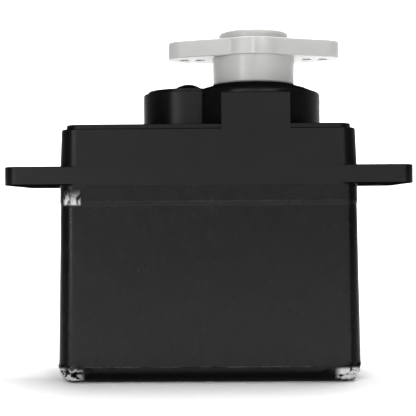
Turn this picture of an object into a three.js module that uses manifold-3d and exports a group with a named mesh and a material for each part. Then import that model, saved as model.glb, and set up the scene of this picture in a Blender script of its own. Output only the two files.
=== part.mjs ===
// Sub-micro servo motor, in millimetres, +Z up.
// Origin: centre of the bounding box's bottom face. +X runs from the motor end to the output end.
import * as THREE from "three";
import { mergeVertices } from "three/addons/utils/BufferGeometryUtils.js";
import Module from "manifold-3d";

const wasm = await Module();
wasm.setup();

// ---------- driving dimensions ----------

const GAP = 0.02; // clearance between pieces that seat in each other
const RUN = 0.04; // radial clearance of a running fit

// case
const CASE_HALF_LENGTH = 11.4;
const CASE_HALF_WIDTH = 5.8;
const CASE_WALL = 1.0;
const CASE_INNER_CORNER = 0.8;
const FILM_LEDGE = 0.13; // how far the walls stand back behind the film
const FOOT_FLARE = 0.04; // draft of the middle case, outwards at its foot
const UPPER_CORNER = 1.5;
const LOWER_CORNER = 1.2;
const SEAM_Z = 13.65; // between the middle and upper cases
const COVER_SEAM_Z = 1.35; // between the bottom cover and the middle case
const COVER_EDGE = 1.1; // rounding of the bottom edge
const COVER_BOTTOM = 0.12;
const SHOULDER_Z = 19.33;
const SHOULDER_INSET = 0.12; // draft of the upper case above the tabs
const SHOULDER_EDGE = 0.12; // rounding of the shoulder
const PLATEAU_Z = 19.68;
const PLATEAU_INSET = 0.35;
const ROOF_UNDER_Z = 18.7;

// mounting tabs
const TAB_HALF_SPAN = 15.75;
const TAB_HALF_WIDTH = CASE_HALF_WIDTH;
const TAB_UNDER_Z = 15.05;
const TAB_TOP_Z = 16.49;
const TAB_CORNER = 1.8;
const TAB_HOLE_X = 13.85;
const TAB_HOLE_RADIUS = 1.0;
const TAB_SLOT_HALF_WIDTH = 0.6;

// case screws, one in each corner
const SCREW_X = CASE_HALF_LENGTH - 1.45;
const SCREW_Y = CASE_HALF_WIDTH - 1.45;
const SCREW_RADIUS = 0.6;
const SCREW_HEAD_RADIUS = 1.1;
const SCREW_SEAT_Z = 0.85;
const SCREW_TIP_Z = 18.0;
const SCREW_HOLE_RADIUS = SCREW_RADIUS + 0.05;
const SCREW_COLUMN_RADIUS = 1.15;
const SCREW_CORNERS = [
  [-SCREW_X, -SCREW_Y],
  [SCREW_X, -SCREW_Y],
  [SCREW_X, SCREW_Y],
  [-SCREW_X, SCREW_Y],
];

// shrink film
const FILM = 0.1;
const FILM_TOP_Z = TAB_UNDER_Z - 0.07;
const FILM_LIP = 1.9; // how far the film folds in under the case

// gear axes, all parallel to Z and on the line y = 0
const MOTOR_X = -5.65;
const IDLER_X = -1.65;
const OUTPUT_X = 3.64;

// gear train: module, teeth and addendum shift of each pair
const FIRST_MODULE = (2 * (IDLER_X - MOTOR_X)) / (9 + 31);
const TRAIN_MODULE = (2 * (OUTPUT_X - IDLER_X)) / (10 + 32);
const FIRST_PINION_TEETH = 9;
const FIRST_WHEEL_TEETH = 31;
const PINION_TEETH = 10;
const WHEEL_TEETH = 32;
const PINION_SHIFT = 0.36;
const BACKLASH = 0.035;
const PRESSURE_ANGLE = (20 * Math.PI) / 180;

// levels of the gear train
const PLATE_UNDER_Z = 13.2;
const PLATE_TOP_Z = 14.4;
const HUB_UNDER_Z = PLATE_TOP_Z + 0.05;
const MOTOR_PINION_Z = [14.55, 15.65];
const GEAR_1_WHEEL_Z = [14.55, 15.35];
const GEAR_1_TOP_Z = 16.55;
const GEAR_2_WHEEL_Z = [15.55, 16.35];
const GEAR_2_TOP_Z = 17.75;
const GEAR_3_WHEEL_Z = [16.75, 17.6];
const GEAR_3_TOP_Z = 20.7;
const OUTPUT_WHEEL_Z = [19.0, 20.9];
const PIN_RADIUS = 0.5;

// idler boss and output tower on the roof
const BOSS_RADIUS = 3.63;
const BOSS_STEP_Z = 22.4;
const BOSS_TOP_RADIUS = 3.26;
const BOSS_TOP_Z = 22.64;
const BOSS_CAP_RADIUS = 1.37;
const BOSS_CAP_HEIGHT = 0.64;
const TOWER_RADIUS = 5.34;
const TOWER_EDGE = 0.28;
const TOWER_WALL_TOP_Z = 22.48;
const TOWER_CONE_MIDDLE = [4.15, 22.85];
const TOWER_RING_RADIUS = 3.45;
const TOWER_CONE_TOP_Z = 23.05;
const TOWER_RING_TOP_Z = 23.1;
const TOWER_BORE_RADIUS = 4.5;
const TOWER_ROOF_Z = 21.7;
const BOSS_BORE_RADIUS = 2.5;
const WEB_HALF_WIDTH = 2.6;
const WEB_TOP_Z = 21.95;
const STOP_HALF_ANGLE = (78 * Math.PI) / 180;
const STOP_UNDER_Z = 21.15;
const LUG_HALF_ANGLE = 0.17;
const LUG_TOP_Z = 21.5;

// output shaft and horn
const BUSH_RADIUS = 2.85;
const BUSH_TOP_Z = 23.07;
const JOURNAL_RADIUS = 2.41;
const SPLINE_TEETH = 21;
const SPLINE_RADIUS = 2.32;
const SPLINE_DEPTH = 0.16;
const SPLINE_TOP_Z = 26.0;
const HORN_BOTTOM_Z = 23.14;
const HORN_PLATE_Z = 25.25;
const HORN_PLATE_TOP_Z = 26.6;
const HORN_TOP_Z = 27.34;
const HORN_RECESS_Z = 26.5;
const HORN_ARM_HOLES = [4.3, 5.6];
const HORN_HOLE_RADIUS = 0.4;
const HORN_COLLAR_RADIUS = 3.28;
const HORN_HUB_RADIUS = 2.82;
const HORN_REACH = 6.9;
const HORN_TIP_RADIUS = 1.65;
const HORN_ROOT_HALF_WIDTH = 3.1;

// motor
const CAN_RADIUS = 4.65;
const CAN_HALF_FLAT = 3.8;
const CAN_WALL = 0.4;
const CAN_BOTTOM_Z = 2.6;
const CAN_TOP_Z = 13.1;
const CORE_Z = [5.0, 11.0];
const SHAFT_Z = [1.2, 15.75];

// potentiometer and circuit board
const POT_RADIUS = 3.9;
const POT_Z = [9.0, 12.3];
const BOARD_Z = [5.2, 6.0];
const BOARD_X = [-0.4, 9.9];
const BOARD_HALF_WIDTH = 4.1;

// ---------- materials ----------

function material(color, roughness, metalness) {
  return () => new THREE.MeshStandardMaterial({ color, roughness, metalness });
}

const blackPlastic = material(0x2b2b2d, 0.55, 0);
const blackFilm = material(0x1c1c1e, 0.3, 0);
const whiteNylon = material(0xe6e4de, 0.45, 0);
const gearNylon = material(0xf0eee6, 0.5, 0);
const steel = material(0xb8bcc0, 0.3, 1);
const brass = material(0xc9a54a, 0.35, 1);
const ferrite = material(0x3a3a3c, 0.8, 0);
const copper = material(0xb8683a, 0.4, 1);
const boardGreen = material(0x1f5a38, 0.5, 0);
const chipBlack = material(0x1a1a1c, 0.5, 0);
const ceramic = material(0xc8a878, 0.6, 0);
const redInsulation = material(0xa82420, 0.5, 0);
const blackInsulation = material(0x202022, 0.6, 0);
const phenolic = material(0x6b3f24, 0.6, 0);

// ---------- shape helpers ----------

function toSolid(geometry) {
  const bare = geometry.clone();
  bare.deleteAttribute("normal");
  bare.deleteAttribute("uv");
  const merged = mergeVertices(bare, 1e-4);
  const index = merged.getIndex().array;
  const triangles = [];
  for (let i = 0; i < index.length; i += 3) {
    const [a, b, c] = index.slice(i, i + 3);
    if (a !== b && b !== c && c !== a) triangles.push(a, b, c);
  }
  return new wasm.Manifold(
    new wasm.Mesh({
      numProp: 3,
      vertProperties: new Float32Array(merged.getAttribute("position").array),
      triVerts: new Uint32Array(triangles),
    }),
  );
}

function toGeometry(solid) {
  const mesh = solid.getMesh();
  const geometry = new THREE.BufferGeometry();
  geometry.setAttribute("position", new THREE.BufferAttribute(mesh.vertProperties, 3));
  geometry.setIndex(new THREE.BufferAttribute(mesh.triVerts, 1));
  return geometry;
}

function arc(radius, from, to, steps, cx = 0, cy = 0) {
  return Array.from({ length: steps + 1 }, (_, i) => {
    const angle = from + ((to - from) * i) / steps;
    return new THREE.Vector2(cx + radius * Math.cos(angle), cy + radius * Math.sin(angle));
  });
}

function circle(radius, sides, cx = 0, cy = 0) {
  return arc(radius, 0, 2 * Math.PI, sides, cx, cy).slice(0, -1);
}

function roundedRectangle(halfLength, halfWidth, radius, steps = 4) {
  const x = halfLength - radius;
  const y = halfWidth - radius;
  const corners = [
    [x, y],
    [-x, y],
    [-x, -y],
    [x, -y],
  ];
  return corners.flatMap(([cx, cy], i) =>
    arc(radius, (i * Math.PI) / 2, ((i + 1) * Math.PI) / 2, steps, cx, cy),
  );
}

function prism(points, z0, z1) {
  const geometry = new THREE.ExtrudeGeometry(new THREE.Shape(points), {
    depth: z1 - z0,
    bevelEnabled: false,
  });
  return toSolid(geometry.translate(0, 0, z0));
}

function cylinder(radius, z0, z1, sides, cx = 0, cy = 0) {
  return prism(circle(radius, sides, cx, cy), z0, z1);
}

function box(x0, x1, y0, y1, z0, z1) {
  const geometry = new THREE.BoxGeometry(x1 - x0, y1 - y0, z1 - z0);
  return toSolid(geometry.translate((x0 + x1) / 2, (y0 + y1) / 2, (z0 + z1) / 2));
}

// A solid of revolution about a vertical axis, from [radius, z] points that start and end on the axis.
function turned(profile, sides, cx = 0, cy = 0) {
  const points = profile.map(([r, z]) => new THREE.Vector2(r, z));
  const geometry = new THREE.LatheGeometry(points, sides).rotateX(Math.PI / 2);
  return toSolid(geometry.translate(cx, cy, 0));
}

// A closed solid through a stack of outlines with the same number of points each.
function loft(sections) {
  const count = sections[0].points.length;
  const position = sections.flatMap(({ z, points }) => points.flatMap((p) => [p.x, p.y, z]));
  const index = [];
  for (let level = 0; level + 1 < sections.length; level += 1) {
    for (let i = 0; i < count; i += 1) {
      const a = level * count + i;
      const b = level * count + ((i + 1) % count);
      index.push(a, b, b + count, a, b + count, a + count);
    }
  }
  const top = (sections.length - 1) * count;
  for (const [a, b, c] of THREE.ShapeUtils.triangulateShape(sections[0].points, [])) {
    index.push(c, b, a, top + a, top + b, top + c);
  }
  const geometry = new THREE.BufferGeometry();
  geometry.setAttribute("position", new THREE.Float32BufferAttribute(position, 3));
  geometry.setIndex(index);
  return toSolid(geometry);
}

// A rounded rectangle lofted through [z, outward offset] levels.
function draftedBox(halfLength, halfWidth, radius, levels, steps = 4) {
  return loft(
    levels.map(([z, offset]) => ({
      z,
      points: roundedRectangle(
        halfLength + offset,
        halfWidth + offset,
        Math.max(radius + offset, 0.15),
        steps,
      ),
    })),
  );
}

function ring(outer, inner, z0, z1, sides, cx = 0, cy = 0) {
  return cylinder(outer, z0, z1, sides, cx, cy).subtract(
    cylinder(inner, z0 - 1, z1 + 1, sides, cx, cy),
  );
}

function union(solids) {
  return solids.reduce((sum, solid) => sum.add(solid));
}

function tubeAlong(points, radius, sides = 8) {
  const path = new THREE.CatmullRomCurve3(points.map(([x, y, z]) => new THREE.Vector3(x, y, z)));
  const section = new THREE.Shape(circle(radius, sides));
  const steps = Math.max(6, Math.round(path.getLength() / 0.8));
  return toSolid(
    new THREE.ExtrudeGeometry(section, { steps, extrudePath: path, bevelEnabled: false }),
  );
}

// ---------- gears ----------

// Outline of an involute gear with one tooth centred on the angle `phase`.
function gearOutline(teeth, module, shift, phase) {
  const pitch = (teeth * module) / 2;
  const base = pitch * Math.cos(PRESSURE_ANGLE);
  const tip = pitch + module * (1 + shift);
  const root = pitch - module * (1.25 - shift);
  const involute = (angle) => Math.tan(angle) - angle;
  const halfThickness =
    Math.PI / (2 * teeth) +
    (2 * shift * Math.tan(PRESSURE_ANGLE)) / teeth -
    BACKLASH / (2 * pitch) +
    involute(PRESSURE_ANGLE);
  const halfAngleAt = (r) => halfThickness - involute(Math.acos(Math.min(1, base / r)));
  const start = Math.max(base, root);
  const radii = shift > 0 ? [start, (start + tip) / 2, tip] : [start, tip];
  const flank = radii.map((r) => [r, halfAngleAt(r)]);
  if (root < base) flank.unshift([root, halfAngleAt(start)]);
  const side = [...flank.map(([r, a]) => [r, -a]), ...flank.reverse()];
  return Array.from({ length: teeth }, (_, tooth) => {
    const centre = phase + (2 * Math.PI * tooth) / teeth;
    return side.map(
      ([r, a]) => new THREE.Vector2(r * Math.cos(centre + a), r * Math.sin(centre + a)),
    );
  }).flat();
}

function gear(teeth, module, shift, phase, z0, z1, cx) {
  const outline = gearOutline(teeth, module, shift, phase);
  return prism(outline, z0, z1).translate([cx, 0, 0]);
}

// A wheel turned so that a tooth space faces the pinion tooth that stands on the line of centres.
function wheel(teeth, module, facing, z0, z1, cx) {
  return gear(teeth, module, -PINION_SHIFT, facing + Math.PI / teeth, z0, z1, cx);
}

function compoundGear(cx, wheelTeeth, wheelModule, wheelZ, pinionTop, towardsDriver, hubBottom) {
  const towardsDriven = towardsDriver === 0 ? Math.PI : 0;
  const solids = [
    wheel(wheelTeeth, wheelModule, towardsDriver, wheelZ[0], wheelZ[1], cx),
    gear(PINION_TEETH, TRAIN_MODULE, PINION_SHIFT, towardsDriven, wheelZ[1], pinionTop, cx),
  ];
  if (hubBottom < wheelZ[0]) solids.push(cylinder(1.1, hubBottom, wheelZ[0], 20, cx));
  const bore = cylinder(PIN_RADIUS + RUN, hubBottom - 1, pinionTop + 1, 16, cx);
  return union(solids).subtract(bore);
}

// ---------- case ----------

function cornerColumns(radius, z0, z1, sides = 10) {
  return SCREW_CORNERS.map(([cx, cy]) => cylinder(radius, z0, z1, sides, cx, cy));
}

// The room between the walls, lofted through [z, outward offset] levels.
function insideWalls(levels) {
  const halfLength = CASE_HALF_LENGTH - CASE_WALL;
  return draftedBox(halfLength, CASE_HALF_WIDTH - CASE_WALL, CASE_INNER_CORNER, levels, 2);
}

function tabs() {
  const plate = prism(
    roundedRectangle(TAB_HALF_SPAN, TAB_HALF_WIDTH, TAB_CORNER, 6),
    TAB_UNDER_Z,
    TAB_TOP_Z,
  );
  const cuts = [-1, 1].flatMap((side) => {
    const x = side * TAB_HOLE_X;
    const mouth = side * (TAB_HALF_SPAN + 1);
    const slot = [Math.min(x, mouth), Math.max(x, mouth)];
    return [
      cylinder(TAB_HOLE_RADIUS, TAB_UNDER_Z - 1, TAB_TOP_Z + 1, 24, x),
      box(...slot, -TAB_SLOT_HALF_WIDTH, TAB_SLOT_HALF_WIDTH, TAB_UNDER_Z - 1, TAB_TOP_Z + 1),
    ];
  });
  return plate.subtract(union(cuts));
}

// The flat buttress between the tower and one long face of the case.
function web(side) {
  const face = side * (CASE_HALF_WIDTH - SHOULDER_INSET);
  return box(
    OUTPUT_X - WEB_HALF_WIDTH,
    OUTPUT_X + WEB_HALF_WIDTH,
    Math.min(0, face),
    Math.max(0, face),
    SHOULDER_Z - 1,
    WEB_TOP_Z,
  );
}

function upperCase() {
  const ledgeZ = TAB_UNDER_Z - 0.05;
  const walls = draftedBox(CASE_HALF_LENGTH, CASE_HALF_WIDTH, UPPER_CORNER, [
    [SEAM_Z, -0.3],
    [SEAM_Z + 0.15, -FILM_LEDGE],
    [ledgeZ, -FILM_LEDGE],
    [ledgeZ, 0],
    [TAB_TOP_Z, 0],
    [SHOULDER_Z - SHOULDER_EDGE, -SHOULDER_INSET],
    [SHOULDER_Z, -SHOULDER_INSET - SHOULDER_EDGE],
  ]);
  const plateau = draftedBox(
    CASE_HALF_LENGTH - SHOULDER_INSET - PLATEAU_INSET,
    CASE_HALF_WIDTH - SHOULDER_INSET - PLATEAU_INSET,
    UPPER_CORNER - 0.3,
    [
      [SHOULDER_Z - 0.5, 0],
      [PLATEAU_Z, 0],
    ],
  );
  const capSphere = (BOSS_CAP_RADIUS ** 2 + BOSS_CAP_HEIGHT ** 2) / (2 * BOSS_CAP_HEIGHT);
  const capAngle = Math.asin(BOSS_CAP_RADIUS / capSphere);
  const cap = Array.from({ length: 5 }, (_, i) => {
    const angle = capAngle * (1 - i / 4);
    const z = BOSS_TOP_Z + BOSS_CAP_HEIGHT - capSphere * (1 - Math.cos(angle));
    return [capSphere * Math.sin(angle), z];
  });
  const boss = turned(
    [
      [0, ROOF_UNDER_Z],
      [BOSS_RADIUS, ROOF_UNDER_Z],
      [BOSS_RADIUS, BOSS_STEP_Z],
      [BOSS_TOP_RADIUS, BOSS_STEP_Z],
      [BOSS_TOP_RADIUS, BOSS_TOP_Z],
      ...cap,
    ],
    40,
    IDLER_X,
  );
  const tower = turned(
    [
      [0, ROOF_UNDER_Z],
      [TOWER_RADIUS, ROOF_UNDER_Z],
      [TOWER_RADIUS, TOWER_WALL_TOP_Z - TOWER_EDGE],
      [TOWER_RADIUS - 0.08, TOWER_WALL_TOP_Z - 0.08],
      [TOWER_RADIUS - TOWER_EDGE, TOWER_WALL_TOP_Z],
      TOWER_CONE_MIDDLE,
      [TOWER_RING_RADIUS, TOWER_CONE_TOP_Z],
      [TOWER_RING_RADIUS, TOWER_RING_TOP_Z],
      [0, TOWER_RING_TOP_Z],
    ],
    48,
    OUTPUT_X,
  );
  const shell = union([walls, plateau, tabs(), boss, tower, web(-1), web(1)]);
  const columns = cornerColumns(SCREW_COLUMN_RADIUS, PLATE_TOP_Z + GAP, ROOF_UNDER_Z + 1);
  const cavity = insideWalls([
    [SEAM_Z - 1, 0],
    [ROOF_UNDER_Z, 0],
  ]).subtract(union(columns));
  const stop = prism(
    [
      ...arc(TOWER_BORE_RADIUS + 0.2, -STOP_HALF_ANGLE, STOP_HALF_ANGLE, 14),
      ...arc(3.35, STOP_HALF_ANGLE, -STOP_HALF_ANGLE, 14),
    ],
    STOP_UNDER_Z,
    TOWER_ROOF_Z + 0.1,
  )
    .rotate([0, 0, -90])
    .translate([OUTPUT_X, 0, 0]);
  const towerBore = cylinder(TOWER_BORE_RADIUS, ROOF_UNDER_Z - 1, TOWER_ROOF_Z, 40, OUTPUT_X);
  const hollow = union([
    cavity,
    towerBore.subtract(stop),
    cylinder(BOSS_BORE_RADIUS, ROOF_UNDER_Z - 1, TOWER_ROOF_Z - 0.1, 28, IDLER_X),
    cylinder(BUSH_RADIUS + GAP, TOWER_ROOF_Z - 0.5, TOWER_RING_TOP_Z + 1, 32, OUTPUT_X),
    cylinder(PIN_RADIUS + GAP, TOWER_ROOF_Z - 0.5, 22.35, 12, IDLER_X),
    ...cornerColumns(SCREW_HOLE_RADIUS, SEAM_Z - 1, SCREW_TIP_Z + 0.2),
  ]);
  return shell.subtract(hollow);
}

function middleCase() {
  const walls = draftedBox(CASE_HALF_LENGTH, CASE_HALF_WIDTH, LOWER_CORNER, [
    [COVER_SEAM_Z, -0.12],
    [COVER_SEAM_Z + 0.15, FOOT_FLARE],
    [SEAM_Z - 0.2, -0.17],
    [SEAM_Z - GAP, -0.3],
  ]);
  const plate = insideWalls([
    [PLATE_UNDER_Z - 0.5, -GAP],
    [PLATE_TOP_Z, -GAP],
  ]);
  const cavity = insideWalls([
    [0, 0],
    [PLATE_UNDER_Z, 0],
  ]).subtract(union(cornerColumns(SCREW_COLUMN_RADIUS, COVER_SEAM_Z, SEAM_Z)));
  return walls
    .add(plate)
    .subtract(
      union([
        cavity,
        ...cornerColumns(SCREW_HOLE_RADIUS, 0, PLATE_TOP_Z + 1),
        cylinder(1.55, PLATE_UNDER_Z - 1, PLATE_TOP_Z + 1, 24, MOTOR_X),
        cylinder(PIN_RADIUS + GAP, PLATE_UNDER_Z + 0.2, PLATE_TOP_Z + 1, 12, IDLER_X),
        cylinder(PIN_RADIUS + RUN, PLATE_UNDER_Z - 1, PLATE_TOP_Z + 1, 20, OUTPUT_X),
        box(CASE_HALF_LENGTH - 2, CASE_HALF_LENGTH + 1, -1.9, 1.9, 2.2, 3.9),
      ]),
    );
}

// Levels of the rounded bottom edge, for a face `clearance` outside the case.
function edgeLevels(clearance) {
  const radius = COVER_EDGE + clearance;
  return Array.from({ length: 5 }, (_, i) => {
    const angle = (i * Math.PI) / 8;
    const z = COVER_BOTTOM + COVER_EDGE - radius * Math.cos(angle);
    return [z, radius * Math.sin(angle) - COVER_EDGE];
  });
}

function bottomCover() {
  const walls = draftedBox(CASE_HALF_LENGTH, CASE_HALF_WIDTH, LOWER_CORNER, [
    ...edgeLevels(0),
    [COVER_SEAM_Z - GAP, -0.1],
  ]);
  const cavity = insideWalls([
    [1.0, 0],
    [COVER_SEAM_Z + 1, 0],
  ]).subtract(union(cornerColumns(SCREW_COLUMN_RADIUS, 0, COVER_SEAM_Z + 1)));
  const screwHoles = [
    ...cornerColumns(SCREW_HOLE_RADIUS, -1, 3),
    ...cornerColumns(SCREW_HEAD_RADIUS + 0.1, -1, SCREW_SEAT_Z),
  ];
  return walls.subtract(union([cavity, ...screwHoles]));
}

function crossRecess(cx, cy, reach, halfWidth, z0, z1) {
  return box(cx - reach, cx + reach, cy - halfWidth, cy + halfWidth, z0, z1).add(
    box(cx - halfWidth, cx + halfWidth, cy - reach, cy + reach, z0, z1),
  );
}

function caseScrew(cx, cy) {
  const headZ = COVER_BOTTOM + 0.05;
  const body = turned(
    [
      [0, headZ],
      [SCREW_HEAD_RADIUS - 0.25, headZ],
      [SCREW_HEAD_RADIUS, headZ + 0.25],
      [SCREW_HEAD_RADIUS, SCREW_SEAT_Z - GAP],
      [SCREW_RADIUS, SCREW_SEAT_Z - GAP],
      [SCREW_RADIUS, SCREW_TIP_Z - 0.6],
      [0.2, SCREW_TIP_Z],
      [0, SCREW_TIP_Z],
    ],
    10,
    cx,
    cy,
  );
  return body.subtract(crossRecess(cx, cy, 0.65, 0.13, 0, 0.5));
}

// Levels of the film's face that lies `clearance` outside the case, from the fold to the top edge.
function filmLevels(clearance) {
  return [
    ...edgeLevels(clearance),
    [COVER_SEAM_Z + 0.15, clearance + FOOT_FLARE],
    [SEAM_Z - 0.2, clearance - 0.17],
    [SEAM_Z + 0.17, clearance - FILM_LEDGE],
  ];
}

function shrinkFilm() {
  const outside = draftedBox(CASE_HALF_LENGTH, CASE_HALF_WIDTH, LOWER_CORNER, [
    ...filmLevels(GAP + FILM),
    [FILM_TOP_Z, GAP + FILM - FILM_LEDGE],
  ]);
  const inside = draftedBox(CASE_HALF_LENGTH, CASE_HALF_WIDTH, LOWER_CORNER, [
    ...filmLevels(GAP),
    [FILM_TOP_Z + 1, GAP - FILM_LEDGE],
  ]);
  const window = prism(
    roundedRectangle(CASE_HALF_LENGTH - FILM_LIP, CASE_HALF_WIDTH - FILM_LIP, 1.0),
    -1,
    1,
  );
  const cableWindow = box(CASE_HALF_LENGTH - 2, CASE_HALF_LENGTH + 1, -2.1, 2.1, 2.0, 4.1);
  return outside.subtract(union([inside, window, cableWindow]));
}

function cableOutlet() {
  const x = CASE_HALF_LENGTH;
  const body = box(x - 1.3, x - 0.02, -1.9 + GAP, 1.9 - GAP, 2.2 + GAP, 3.9 - GAP);
  const flange = box(x - 1.5, x - CASE_WALL - GAP, -2.4, 2.4, 1.8, 4.3);
  const holes = [-1.1, 0, 1.1].map((y) =>
    toSolid(
      new THREE.CylinderGeometry(0.45, 0.45, 6, 12)
        .rotateZ(Math.PI / 2)
        .translate(x, y, 3.05),
    ),
  );
  return body.add(flange).subtract(union(holes));
}

// ---------- output ----------

function splineOutline(radius, depth) {
  return Array.from({ length: SPLINE_TEETH * 2 }, (_, i) => {
    const angle = (Math.PI * i) / SPLINE_TEETH;
    const r = i % 2 === 0 ? radius : radius - depth;
    return new THREE.Vector2(r * Math.cos(angle), r * Math.sin(angle));
  });
}

function outputGear() {
  const stopLug = prism(
    [
      ...arc(4.1, -LUG_HALF_ANGLE, LUG_HALF_ANGLE, 3),
      ...arc(3.5, LUG_HALF_ANGLE, -LUG_HALF_ANGLE, 3),
    ],
    OUTPUT_WHEEL_Z[1] - 0.1,
    LUG_TOP_Z,
  )
    .rotate([0, 0, 90])
    .translate([OUTPUT_X, 0, 0]);
  const spline = prism(splineOutline(SPLINE_RADIUS, SPLINE_DEPTH), HORN_BOTTOM_Z, SPLINE_TOP_Z);
  const solid = union([
    cylinder(1.6, 17.95, OUTPUT_WHEEL_Z[0], 20, OUTPUT_X),
    wheel(WHEEL_TEETH, TRAIN_MODULE, Math.PI, ...OUTPUT_WHEEL_Z, OUTPUT_X),
    cylinder(3.0, OUTPUT_WHEEL_Z[1], 21.2, 32, OUTPUT_X),
    cylinder(JOURNAL_RADIUS, 21.2, HORN_BOTTOM_Z, 32, OUTPUT_X),
    spline.translate([OUTPUT_X, 0, 0]),
    stopLug,
  ]);
  return solid.subtract(
    union([
      cylinder(PIN_RADIUS + GAP, 17, 20.4, 12, OUTPUT_X),
      cylinder(0.85, 21.4, SPLINE_TOP_Z + 1, 12, OUTPUT_X),
    ]),
  );
}

// One horn arm in plan: straight sides from the hub, narrowing to a round tip.
function hornArm(side) {
  const tipX = HORN_REACH - HORN_TIP_RADIUS;
  const lean = Math.asin((HORN_ROOT_HALF_WIDTH - HORN_TIP_RADIUS) / tipX);
  const points = [
    new THREE.Vector2(0, -HORN_ROOT_HALF_WIDTH),
    ...arc(HORN_TIP_RADIUS, lean - Math.PI / 2, Math.PI / 2 - lean, 12, tipX),
    new THREE.Vector2(0, HORN_ROOT_HALF_WIDTH),
  ];
  const arm = prism(points, HORN_PLATE_Z, HORN_PLATE_TOP_Z);
  const holes = HORN_ARM_HOLES.map((x) =>
    cylinder(HORN_HOLE_RADIUS, HORN_PLATE_Z - 1, HORN_PLATE_TOP_Z + 1, 12, x),
  );
  const turn = side > 0 ? 0 : 180;
  return arm.subtract(union(holes)).rotate([0, 0, turn]);
}

function servoHorn() {
  const hub = turned(
    [
      [0, HORN_BOTTOM_Z],
      [HORN_COLLAR_RADIUS, HORN_BOTTOM_Z],
      [HORN_COLLAR_RADIUS + 0.08, HORN_PLATE_Z],
      [HORN_COLLAR_RADIUS + 0.08, HORN_PLATE_TOP_Z - 0.1],
      [HORN_HUB_RADIUS, HORN_PLATE_TOP_Z + 0.1],
      [HORN_HUB_RADIUS, HORN_TOP_Z - 0.15],
      [HORN_HUB_RADIUS - 0.15, HORN_TOP_Z],
      [0, HORN_TOP_Z],
    ],
    48,
  );
  const socket = prism(
    splineOutline(SPLINE_RADIUS + GAP, SPLINE_DEPTH),
    HORN_BOTTOM_Z - 1,
    SPLINE_TOP_Z + 0.15,
  );
  return union([hub, hornArm(1), hornArm(-1)])
    .subtract(
      union([
        socket,
        cylinder(1.05, HORN_BOTTOM_Z, HORN_TOP_Z + 1, 20),
        cylinder(2.05, HORN_RECESS_Z, HORN_TOP_Z + 1, 28),
      ]),
    )
    .translate([OUTPUT_X, 0, 0]);
}

function hornScrew() {
  const seat = HORN_RECESS_Z + GAP;
  const screw = turned(
    [
      [0, 21.9],
      [0.5, 21.9],
      [0.82, 22.4],
      [0.82, seat],
      [1.9, seat],
      [1.9, seat + 0.33],
      [1.5, seat + 0.6],
      [0, seat + 0.68],
    ],
    20,
    OUTPUT_X,
  );
  return screw.subtract(crossRecess(OUTPUT_X, 0, 1.0, 0.2, seat + 0.25, HORN_TOP_Z + 1));
}

function outputSpindle() {
  const flat = box(OUTPUT_X + 0.32, OUTPUT_X + 2, -1, 1, 8, 12.9);
  return cylinder(PIN_RADIUS, 9.3, 20.3, 20, OUTPUT_X).subtract(flat);
}

// ---------- potentiometer ----------

function potHousing() {
  return cylinder(POT_RADIUS, ...POT_Z, 32, OUTPUT_X).subtract(
    union([
      cylinder(POT_RADIUS - 0.5, POT_Z[0] + 0.5, POT_Z[1] + 1, 32, OUTPUT_X),
      cylinder(0.9, POT_Z[0] - 1, POT_Z[1], 16, OUTPUT_X),
    ]),
  );
}

function potCover() {
  const plate = cylinder(POT_RADIUS, POT_Z[1] + GAP, POT_Z[1] + 0.45, 32, OUTPUT_X);
  return plate.subtract(cylinder(1.0, POT_Z[0], POT_Z[1] + 2, 16, OUTPUT_X));
}

function potTrack() {
  const mouth = box(OUTPUT_X - 0.5, OUTPUT_X + 0.5, -5, 0, 9, 11);
  return ring(3.3, 2.1, 9.52, 9.72, 28, OUTPUT_X).subtract(mouth);
}

function potRotor() {
  const flat = box(OUTPUT_X + 0.34, OUTPUT_X + 0.7, -0.6, 0.6, 9, 13);
  const bore = cylinder(PIN_RADIUS + GAP, 9, 13, 20, OUTPUT_X).subtract(flat);
  const disc = cylinder(2.8, 10.4, 11.2, 28, OUTPUT_X);
  return disc.add(cylinder(0.82, 9.75, 12.2, 16, OUTPUT_X)).subtract(bore);
}

function potWiper() {
  const arm = ring(2.7, 2.2, 10.2, 10.38, 24, OUTPUT_X);
  const foot = box(OUTPUT_X - 0.2, OUTPUT_X + 0.2, 2.2, 2.7, 9.76, 10.3);
  return arm.add(foot);
}

function potTerminal(y) {
  const x = OUTPUT_X + Math.sqrt(POT_RADIUS ** 2 - y ** 2);
  const blade = box(x + 0.02, x + 0.7, y - 0.35, y + 0.35, POT_Z[0] + 0.1, POT_Z[0] + 0.35);
  const leg = box(x + 0.45, x + 0.7, y - 0.2, y + 0.2, BOARD_Z[1] + 0.02, POT_Z[0] + 0.3);
  return blade.add(leg);
}

// ---------- motor ----------

function flatted(radius, halfFlat, z0, z1, sides = 32) {
  const between = slab(MOTOR_X, 0, 10, halfFlat, z0 - 1, z1 + 1);
  return cylinder(radius, z0, z1, sides, MOTOR_X).intersect(between);
}

function motorCan() {
  const inside = flatted(
    CAN_RADIUS - CAN_WALL,
    CAN_HALF_FLAT - CAN_WALL,
    CAN_BOTTOM_Z - 1,
    CAN_TOP_Z - CAN_WALL,
  );
  return flatted(CAN_RADIUS, CAN_HALF_FLAT, CAN_BOTTOM_Z, CAN_TOP_Z)
    .add(cylinder(1.5, CAN_TOP_Z - 0.2, CAN_TOP_Z + 0.75, 24, MOTOR_X))
    .subtract(inside)
    .subtract(cylinder(1.15, CAN_TOP_Z - 1, CAN_TOP_Z + 1, 20, MOTOR_X));
}

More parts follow.
